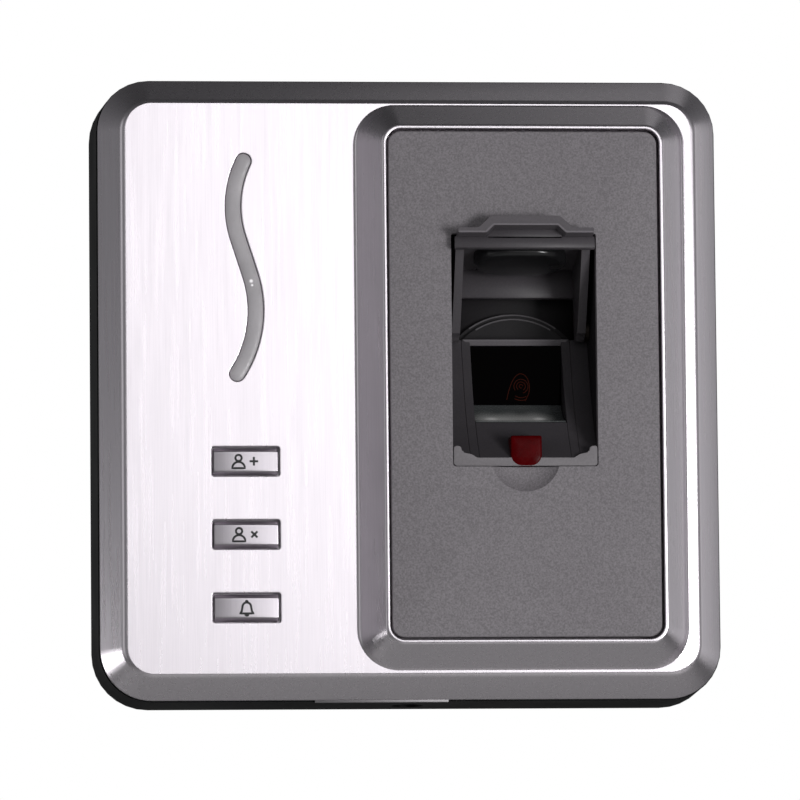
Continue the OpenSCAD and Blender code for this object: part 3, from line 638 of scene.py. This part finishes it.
def build_seat():
    """Sloping seat with walls either side of the window, and the ledge below it."""
    bm = bmesh.new()
    side = smooth_path(SEAT_LOW + SEAT_HIGH[1:])
    for s in (-1, 1):
        near, far = sorted((s * POCKET_HALF_W, s * 9.2))
        across(bm, side + [(15, 8.8), (15.6, 8.8), (15.6, -4.6)] + UNDER, near, far)
        near, far = sorted((s * 9.2, s * (BAY_HALF_W + 0.1)))
        skin = [(15, 8.8), (16.2, 7.5), (13.4, 2.4), (11.2, -2.2)]
        across(bm, side + skin + UNDER, near, far)
    across(bm, smooth_path(SEAT_LOW)[:-1] + smooth_path(LEDGE) + [(15.6, -2.4), (15.6, -4.6)]
           + UNDER, -POCKET_HALF_W, POCKET_HALF_W)
    finished("finger_seat", bm, guide_dark, "housing", ["finger_guide"], sharp=32,
             bevel=0.14, weld=False)


def build_window_bar():
    """Chamfered bar over the window, mitred at its ends, in a lighter copy of the guide's plastic:
    painted light where the chamfer faces the lamps.
    """
    bm = bmesh.new()
    bar = [(14.0, 8.85, 9.1), (13.95, 8.62, 8.9), (14.4, 7.78, 7.75), (15.5, 7.78, 7.75),
           (15.5, 8.85, 9.1)]
    left = [bm.verts.new(in_bay(-u, d, z)) for d, z, u in bar]
    right = [bm.verts.new(in_bay(u, d, z)) for d, z, u in bar]
    bridge(bm, left, right)
    bm.faces.new(left)
    bm.faces.new(right)
    finished("window_bar", bm, painted_lit_grey, "housing", ["finger_guide"], sharp=32,
             bevel=0.1)


def build_bay():
    """Walls of the bay in a darker copy of the guide's plastic, painted shade, and two arched steps on
    its back wall with lighter rims that are painted highlights.
    """
    bm = bmesh.new()
    wide = BAY_HALF_W + 0.05
    rims = []
    block(bm, in_bay(-wide, 15.2, 7.5), in_bay(wide, 19.65, 8.78), 0.1)
    outer = BAY_HALF_W + 1.5
    for s in (-1, 1):
        near, far = sorted((s * BAY_HALF_W, s * outer))
        block(bm, in_bay(near, 2, -15.3), in_bay(far, 21, 29.3), 0.1)
    block(bm, in_bay(-outer, 2, 27.8), in_bay(outer, 21, 29.3), 0.1)
    block(bm, in_bay(-outer, 2, -15.3), in_bay(outer, 17.5, BAY_LOW), 0.1)
    block(bm, in_bay(-outer, 19.6, 7.5), in_bay(outer, 21, 29.3), 0.1)
    for radius, front in ((13, 18.5), (12.2, 17.7)):
        start = math.degrees(math.asin(7.9 / radius))
        arch = [(BAY_X + x, 0.6 + z) for x, z in arc((0, 0), radius, start, 180 - start, 48)]
        prism(bm, arch, PANEL_Y + 19.62, PANEL_Y + front, edge=0.3, steps=3)
        rims.append((radius, front))
    finished("bay_shell", bm, painted_cavity_shade, "housing", ["finger_guide"], sharp=32,
             bevel=0.14, weld=False)
    # Painted highlights: lighter lines along the edges of the arches, in the hood's grey.
    bm = bmesh.new()
    for radius, front in rims:
        start = math.degrees(math.asin(8.2 / radius))
        rim = arc((BAY_X, 0.6), radius - 0.06, start + 16, 164 - start, 40)
        rim += arc((BAY_X, 0.6), radius - 0.3, 164 - start, start + 16, 40)
        prism(bm, rim, PANEL_Y + front + 0.4, PANEL_Y + front - 0.01, edge=0)
    finished("stop_rim_highlights", bm, hood_grey, "housing", ["finger_guide"], sharp=40)


def build_sill():
    """Light strip at the foot of the bay, level with the panel."""
    bm = bmesh.new()
    strip = soften([(0, BAY_LOW + 0.12), (11.98, BAY_LOW + 0.12, 0.4), (11.98, -10.45, 0.25),
                    (10.85, -10.45, 0.3), (10.6, -11.5, 0.4), (9.1, -11.8, 0.5),
                    (8.1, -12.4, 0.5), (-8.1, -12.4, 0.5), (-9.1, -11.8, 0.5),
                    (-10.6, -11.5, 0.4), (-10.85, -10.45, 0.3), (-11.98, -10.45, 0.25),
                    (-11.98, BAY_LOW + 0.12, 0.4), (0, BAY_LOW + 0.12)], steps=5)[:-1]
    prism(bm, [(BAY_X + u, z) for u, z in strip], PANEL_Y + 1.3, PANEL_Y + 0.05, edge=0.14)
    finished("bay_sill", bm, guide_front, "housing", ["finger_guide"], sharp=32)


def build_ledge():
    """Curved glass on the ledge below the window, with painted glints in its material."""
    bm = bmesh.new()
    top = smooth_path([(6.95, -5.6), (8.6, -5.3), (10.4, -4.7), (12.3, -3.6), (13.86, -2.28)])
    under = [(d + 0.28, z - 0.6) for d, z in reversed(top)]
    across(bm, top + under, -7.6, 7.6)
    finished("ledge_glass", bm, smoked_glass, "housing", ["lower_glass"],
             sharp=32, bevel=0.12)


def build_lens():
    """Red light window, square above and round below."""
    bm = bmesh.new()
    half, low, high, corner = 2.6, -13.75, -8.7, 1.8
    middle = BAY_X + 0.1

    def outline(inset):
        r = max(corner - inset, 0.2)
        right, bottom, top = middle + half - inset, low + inset, high - inset
        left = middle - half + inset
        return (arc((left + r, bottom + r), r, 180, 270, 10)
                + arc((right - r, bottom + r), r, 270, 360, 10)
                + arc((right - 0.35, top - 0.35), 0.35, 0, 90, 4)
                + arc((left + 0.35, top - 0.35), 0.35, 90, 180, 4))

    path = [(0, PANEL_Y + 6.4)]
    path += soften([(0, PANEL_Y + 1), (0, PANEL_Y, 0.35), (0.5, PANEL_Y - 0.12),
                    (1.5, PANEL_Y - 0.2)], steps=5)
    back, front = loft(bm, outline, path)
    bm.faces.new(back)
    bm.faces.new(front)
    finished("red_indicator_lens", bm, red_lens, "housing", ["red_indicator"], sharp=40)


# ---------- hood, drawn closed with its pivot at the origin ----------

HOOD_OUT = PIVOT.y - PANEL_Y
INNER = -HOOD_OUT + 0.9
CROWN = INNER - 1.3
LID_HALF_W, LID_FRONT, LID_BACK, LID_RISE = 11.35, -18.95, 1.6, 2.07
CHEEK_IN, CHEEK_OUT, CHEEK_ROUND = 9.87, 11.28, 1.9
RIM_FRONT, RIM_BACK, RIM_HALF_W = -18.99, -18.7, 0.13
HOOD_TURN = (Matrix.Translation(PIVOT)
             @ Matrix.Rotation(math.radians(-HOOD_TRAVEL), 4, "X"))


def build_hood():
    """Lid with a raised crown, two cheeks and cross ribs; its front face takes a lighter copy of its
    plastic, painted light.
    """
    bm = bmesh.new()
    out = -HOOD_OUT
    middle = (0, out - LID_RISE)
    half = [(5.7, out - LID_RISE, 1.1), (7.9, out, 0.9), (LID_HALF_W, out, 0.25),
            (LID_HALF_W, INNER, 0.15), (6.6, INNER, 0.35), (5.3, CROWN, 0.35)]
    mirrored = [(-u, y, radius) for u, y, radius in reversed(half)]
    section = soften([middle] + half + mirrored + [middle], steps=6)[:-1]
    front = [bm.verts.new((u, y, LID_FRONT)) for u, y in section]
    back = [bm.verts.new((u, y, LID_BACK)) for u, y in section]
    bridge(bm, front, back)
    # The front face takes the second material, the lighter copy: painted light.
    bm.faces.new(front).material_index = 1
    bm.faces.new(back)
    cheek = [(INNER - 0.2, -14.4), (INNER - 0.2, LID_BACK), (-7, LID_BACK),
             (0, CHEEK_ROUND)]
    cheek += arc((0, 0), CHEEK_ROUND, 80, -35, 10)
    cheek += [(1.45, -1.6), (1.35, -2.9), (-4.3, -8.3), (-10.2, -13.4)]
    for s in (-1, 1):
        near, far = sorted((s * CHEEK_IN, s * CHEEK_OUT))
        left = [bm.verts.new((near, y, z)) for y, z in cheek]
        right = [bm.verts.new((far, y, z)) for y, z in cheek]
        bridge(bm, left, right)
        bm.faces.new(left)
        bm.faces.new(right)
    ribs = ((11.68, -16.6, -15.4, 1.83), (9.9, 0.5, LID_BACK, 4.95))
    for half_w, front_z, back_z, drop in ribs:
        block(bm, (-half_w, INNER - 0.1, front_z), (half_w, INNER + drop, back_z), 0.03)
        block(bm, (-6.2, CROWN - 0.1, front_z), (6.2, INNER + 0.2, back_z), 0.03)
    shell = finished("hood_shell", bm, hood_grey, "hood", ["hood_flap"], sharp=32,
                     bevel=0.16, place=HOOD_TURN)
    shell.data.materials.append(painted_lit_grey)


def build_hood_rim():
    """Painted highlight: a light line along the inner edge of the hood's front."""
    bm = bmesh.new()
    line = soften([(-11.25, INNER - 0.16), (-6.75, INNER - 0.16, 0.35), (-5.4, CROWN - 0.16, 0.35),
                   (5.4, CROWN - 0.16, 0.35), (6.75, INNER - 0.16, 0.35), (11.25, INNER - 0.16)],
                  steps=6)
    path = [Vector(p) for p in line]
    rings = []
    for i, here in enumerate(path):
        along = path[min(i + 1, len(path) - 1)] - path[max(i - 1, 0)]
        normal = Vector((-along.y, along.x)).normalized() * RIM_HALF_W
        rings.append([bm.verts.new((p.x, p.y, h)) for p, h in
                      ((here + normal, RIM_BACK), (here + normal, RIM_FRONT),
                       (here - normal, RIM_FRONT), (here - normal, RIM_BACK))])
    for one, two in zip(rings, rings[1:]):
        bridge(bm, one, two)
    bm.faces.new(rings[0])
    bm.faces.new(rings[-1])
    finished("hood_rim_highlight", bm, painted_edge_highlight, "hood", ["hood_flap"], sharp=40,
             place=HOOD_TURN)


def build_hood_cushion():
    """Crowned soft pad on the underside of the hood."""
    bm = bmesh.new()
    middle = -8.0
    tip = INNER + 2.25

    def outline(inset):
        return rounded(15.5 - 2 * inset, 11.5 - 2 * inset, max(0.3, 5.7 - inset), (0, middle))

    path = [(0.1, INNER - 0.2), (0, INNER + 0.4)]
    path += soften([(0, INNER + 0.4), (0, tip - 0.1, 1.0), (1.9, tip), (3.5, tip)], steps=7)[1:]
    path += [(5.2, tip + 0.03)]
    base, cap = loft(bm, outline, path)
    bm.faces.new(base)
    bm.faces.new(cap)
    finished("hood_cushion", bm, soft_pad, "hood", ["hood_pad"], sharp=50,
             place=HOOD_TURN)


# ---------- keys and status light ----------

def stroke(bm, path, width, y_back, y_front, closed=False):
    """A thin raised line that follows a path of (x, z), cut short enough to bend with a dome."""
    points = []
    ends = path[1:] + (path[:1] if closed else [])
    for here, after in zip(path, ends):
        here, after = Vector(here), Vector(after)
        cuts = max(1, math.ceil((after - here).length / 0.3))
        points += [here.lerp(after, i / cuts) for i in range(cuts)]
    if not closed:
        points.append(Vector(path[-1]))
    count = len(points)
    sides = ([], [])
    for i, here in enumerate(points):
        before = points[(i - 1) % count] if closed or i else here
        after = points[(i + 1) % count] if closed or i < count - 1 else here
        along = (after - before).normalized()
        normal = Vector((-along.y, along.x)) * width / 2
        sides[0].append(here + normal)
        sides[1].append(here - normal)
    corners = [[bm.verts.new((p.x, y, p.y)) for p in side]
               for y in (y_back, y_front) for side in sides]
    back_a, back_b, front_a, front_b = corners
    last = count if closed else count - 1
    for i in range(last):
        j = (i + 1) % count
        for one, two in ((back_a, back_b), (front_b, front_a), (front_a, back_a),
                         (back_b, front_b)):
            bm.faces.new((one[i], one[j], two[j], two[i]))
    if not closed:
        bm.faces.new((back_a[0], back_b[0], front_b[0], front_a[0]))
        bm.faces.new((back_a[-1], back_b[-1], front_b[-1], front_a[-1]))


def person_symbol(centre, mark):
    """A head and shoulders with a plus or a cross beside it."""
    cx, cz = centre
    head = arc((cx - 1.2, cz + 0.55), 0.52, 0, 345, 14)
    shoulders = arc((cx - 1.2, cz - 1.15), 1.05, 0, 180, 12)
    turn = 0 if mark == "plus" else 45
    bars = []
    for angle in (turn, turn + 90):
        a = math.radians(angle)
        dx, dz = 0.72 * math.cos(a), 0.72 * math.sin(a)
        bars.append([(cx + 1.35 - dx, cz - dz), (cx + 1.35 + dx, cz + dz)])
    return [(head, True), (shoulders, True)] + [(b, False) for b in bars]


def bell_symbol(centre):
    """A plain bell in outline."""
    cx, cz = centre
    dome = arc((cx, cz + 0.15), 0.72, 0, 180, 12)
    body = [(cx + 1.15, cz - 0.95), (cx + 0.85, cz - 0.6)] + dome
    body += [(cx - 0.85, cz - 0.6), (cx - 1.15, cz - 0.95)]
    knob = arc((cx, cz + 1.02), 0.13, 0, 330, 8)
    clapper = arc((cx, cz - 1.0), 0.3, 200, 340, 6)
    return [(body, True), (knob, True), (clapper, False)]


KEY_W, KEY_H, KEY_DOME = 10.95, 4.5, 0.3


def key_outline(centre, inset, corner=5, cuts=14):
    """Outline of a key with extra points along its long sides."""
    points = rounded(KEY_W - 0.5 * inset, KEY_H - 2 * inset, max(0.12, 0.4 - 0.5 * inset), centre,
                     steps=corner)
    half = 2 * (corner + 1)
    made = []
    for start in (0, half):
        side = points[start:start + half]
        left, right = side[corner], side[corner + 1]
        made += side[:corner + 1]
        for i in range(1, cuts):
            t = i / cuts
            made.append((left[0] + (right[0] - left[0]) * t, left[1]))
        made += side[corner + 1:]
    return made


def build_key(name, body, symbol):
    """A domed key cap in its hole, with its symbol."""
    low, high = key_box[name]
    centre = ((low.x + high.x) / 2, (low.z + high.z) / 2)
    face_y, foot_y = low.y, FIELD_Y + 0.65

    def domed(x, y):
        lift = max(0, (foot_y - y) / (foot_y - face_y))
        return y + KEY_DOME * lift * ((x - centre[0]) / (KEY_W / 2)) ** 2

    bm = bmesh.new()
    path = [(-0.7, SKIN_Y + 1.2), (-0.7, SKIN_Y + 0.25), (0, SKIN_Y + 0.25)]
    path += soften([(0, FIELD_Y + 1), (0, foot_y, 0.12), (0.6, face_y, 0.2), (1.0, face_y)],
                   steps=4)
    back, front = loft(bm, lambda inset: key_outline(centre, inset), path)
    bm.faces.new(back)
    half = len(front) // 2
    top, bottom = front[:half], front[half:][::-1]
    for i in range(half - 1):
        bm.faces.new((top[i], top[i + 1], bottom[i + 1], bottom[i]))
    for v in bm.verts:
        v.co.y = domed(v.co.x, v.co.y)
    finished(name + "_cap", bm, key_metal, body, [name], sharp=30)
    bm = bmesh.new()
    for path, closed in symbol(centre):
        stroke(bm, path, 0.36, face_y + 0.05, face_y - 0.006, closed)
    for v in bm.verts:
        v.co.y = domed(v.co.x, v.co.y)
    finished(name + "_symbol", bm, legend_ink, body, sharp=30)


def build_light():
    """The S-shaped light pipe, slightly crowned, with a painted glint in its material."""
    bm = bmesh.new()
    path = [(-0.9, SKIN_Y + 1.5), (-0.9, SKIN_Y + 0.05), (0.08, SKIN_Y + 0.05)]
    path += soften([(0.08, FIELD_Y + 1), (0.08, FIELD_Y + 0.25, 0.2), (0.45, FIELD_Y + 0.08),
                    (0.8, FIELD_Y + 0.02), (1.15, FIELD_Y)], steps=4)
    back, front = loft(bm, lambda inset: light_outline(-inset), path)
    fill(bm, [back])
    fill(bm, [front])
    finished("status_light_lens", bm, smoky_light, "housing", ["light_guide"],
             sharp=40)


def build_window_symbol():
    """A finger tip with its ridges, faintly lit on the lower half of the window."""
    foot, head = (13.9, -2.2), (14.3, 7.75)
    slope = (head[0] - foot[0]) / (head[1] - foot[1])
    lines = [smooth_path([(-1.6, -1.4), (-1.1, 0.5), (-0.4, 2.1), (0.6, 3.0), (1.7, 2.6),
                          (2.25, 1.2), (2.15, -0.3), (1.5, -1.6)], 4)]
    for radius, start, end in ((0.3, 0, 300), (0.75, -60, 230), (1.2, -75, 215)):
        lines.append(arc((0.85, 0.9), radius, start, end, 14))
    lines += [arc((0.85, 0.7), 1.75, 235, 300, 6), arc((0.85, 0.7), 2.2, 240, 295, 6)]
    bm = bmesh.new()
    for line in lines:
        path = [(BAY_X + u, z) for u, z in line]
        stroke(bm, path, 0.11, PANEL_Y + foot[0] + 0.06, PANEL_Y + foot[0] - 0.015)
    for v in bm.verts:
        v.co.y += slope * (v.co.z - foot[1])
    finished("window_symbol", bm, window_light, "housing")


build_panel()
build_seat()
build_window_bar()
build_bay()
build_sill()
build_ledge()
build_window_symbol()
build_lens()
build_hood()
build_hood_rim()
build_hood_cushion()
build_key("key_enroll", "enroll_key", lambda c: person_symbol(c, "plus"))
build_key("key_delete", "delete_key", lambda c: person_symbol(c, "cross"))
build_key("key_bell", "bell_key", bell_symbol)
build_light()

for node in ("base_shell", "wall_bracket", "locking_screw", "fascia_screws", "wire_headers",
             "hinge_pins", "cell_holder", "backup_cell", "relay", "buzzer"):
    round_edges(frame["nodes"][node], 0.2, 40)


# ---------- floor, camera and light ----------

def stage_plane(name, size, location, color):
    """A square plane that stays out of the model."""
    mesh = bpy.data.meshes.new(name)
    half = size / 2
    mesh.from_pydata([(-half, -half, 0), (half, -half, 0), (half, half, 0), (-half, half, 0)],
                     [], [(0, 1, 2, 3)])
    plane = bpy.data.objects.new(name, mesh)
    plane.location = location
    mesh.materials.append(Look(name, color, 0.8).material)
    bpy.context.scene.collection.objects.link(plane)


def soft_light(name, location, width, height, power):
    """A rectangular softbox that faces the middle of the terminal; metres and watts."""
    data = bpy.data.lights.new(name, "AREA")
    data.shape = "RECTANGLE"
    data.size, data.size_y = width, height
    data.energy = power
    lamp = bpy.data.objects.new(name, data)
    lamp.location = location
    lamp.rotation_mode = "QUATERNION"
    lamp.rotation_quaternion = (-Vector(location)).to_track_quat("-Z", "Y")
    bpy.context.scene.collection.objects.link(lamp)
    return lamp


def build_camera():
    """Camera to the left of and below the middle of the flat field, with a slight roll."""
    azimuth, elevation, roll = 0.0924, 0.0965, -0.0094
    distance, target = 1150.6, Vector((-2.02, FIELD_Y, -2.25))
    back = Vector((-math.sin(azimuth) * math.cos(elevation),
                   -math.cos(azimuth) * math.cos(elevation), -math.sin(elevation)))
    right = (-back).cross(Vector((0, 0, 1))).normalized()
    up = right.cross(-back)
    x_axis = right * math.cos(roll) + up * math.sin(roll)
    y_axis = up * math.cos(roll) - right * math.sin(roll)
    data = bpy.data.cameras.new("camera")
    data.sensor_width = 36
    data.lens = 310.4
    data.clip_start, data.clip_end = 0.05, 20
    camera = bpy.data.objects.new("camera", data)
    turn = Matrix((x_axis, y_axis, back)).transposed().to_4x4()
    camera.matrix_world = Matrix.Translation((target + back * distance) * MM) @ turn
    bpy.context.scene.collection.objects.link(camera)
    bpy.context.scene.camera = camera


def build_world():
    """White to the camera; to everything else dim, and darker above than below."""
    world = bpy.data.worlds.new("studio")
    bpy.context.scene.world = world
    world.use_nodes = True
    tree = world.node_tree
    tree.nodes.clear()
    out = tree.nodes.new("ShaderNodeOutputWorld")
    mix = tree.nodes.new("ShaderNodeMixShader")
    path = tree.nodes.new("ShaderNodeLightPath")
    where = tree.nodes.new("ShaderNodeTexCoord")
    axes = tree.nodes.new("ShaderNodeSeparateXYZ")
    height = tree.nodes.new("ShaderNodeMapRange")
    for socket, value in (("From Min", -0.5), ("From Max", 0.9), ("To Min", WORLD_LOW),
                          ("To Max", WORLD_HIGH)):
        height.inputs[socket].default_value = value
    dim = tree.nodes.new("ShaderNodeBackground")
    white = tree.nodes.new("ShaderNodeBackground")
    dim.inputs["Color"].default_value = (0.97, 0.98, 1, 1)
    white.inputs["Strength"].default_value = 1.0
    white.inputs["Color"].default_value = (1, 1, 1, 1)
    tree.links.new(where.outputs["Generated"], axes.inputs["Vector"])
    tree.links.new(axes.outputs["Z"], height.inputs["Value"])
    tree.links.new(height.outputs["Result"], dim.inputs["Strength"])
    tree.links.new(path.outputs["Is Camera Ray"], mix.inputs["Fac"])
    tree.links.new(dim.outputs["Background"], mix.inputs[1])
    tree.links.new(white.outputs["Background"], mix.inputs[2])
    tree.links.new(mix.outputs["Shader"], out.inputs["Surface"])


WORLD_LOW, WORLD_HIGH = 0.254, 0.04
bpy.context.scene.view_settings.view_transform = "Standard"
build_camera()
build_world()
stage_plane("floor", 6, (0, 0, -0.7), (0.8, 0.8, 0.79))
soft_light("front_box", (0.16, -1.3, 0.225), 0.5, 0.5, 1.31)
soft_light("key_box", (0.56, -0.97, -0.15), 0.32, 0.32, 5.0)
soft_light("right_box", (1.0, 0.1, 0.0), 0.6, 0.8, 0.54)
soft_light("low_left_box", (-0.96, 0.3, -0.29), 0.34, 0.36, 1.45)
soft_light("left_fill", (-0.95, -0.55, 0.1), 0.5, 0.9, 0.545)
soft_light("top_right_fill", (0.36, 0.28, 0.93), 0.45, 0.5, 0.14)
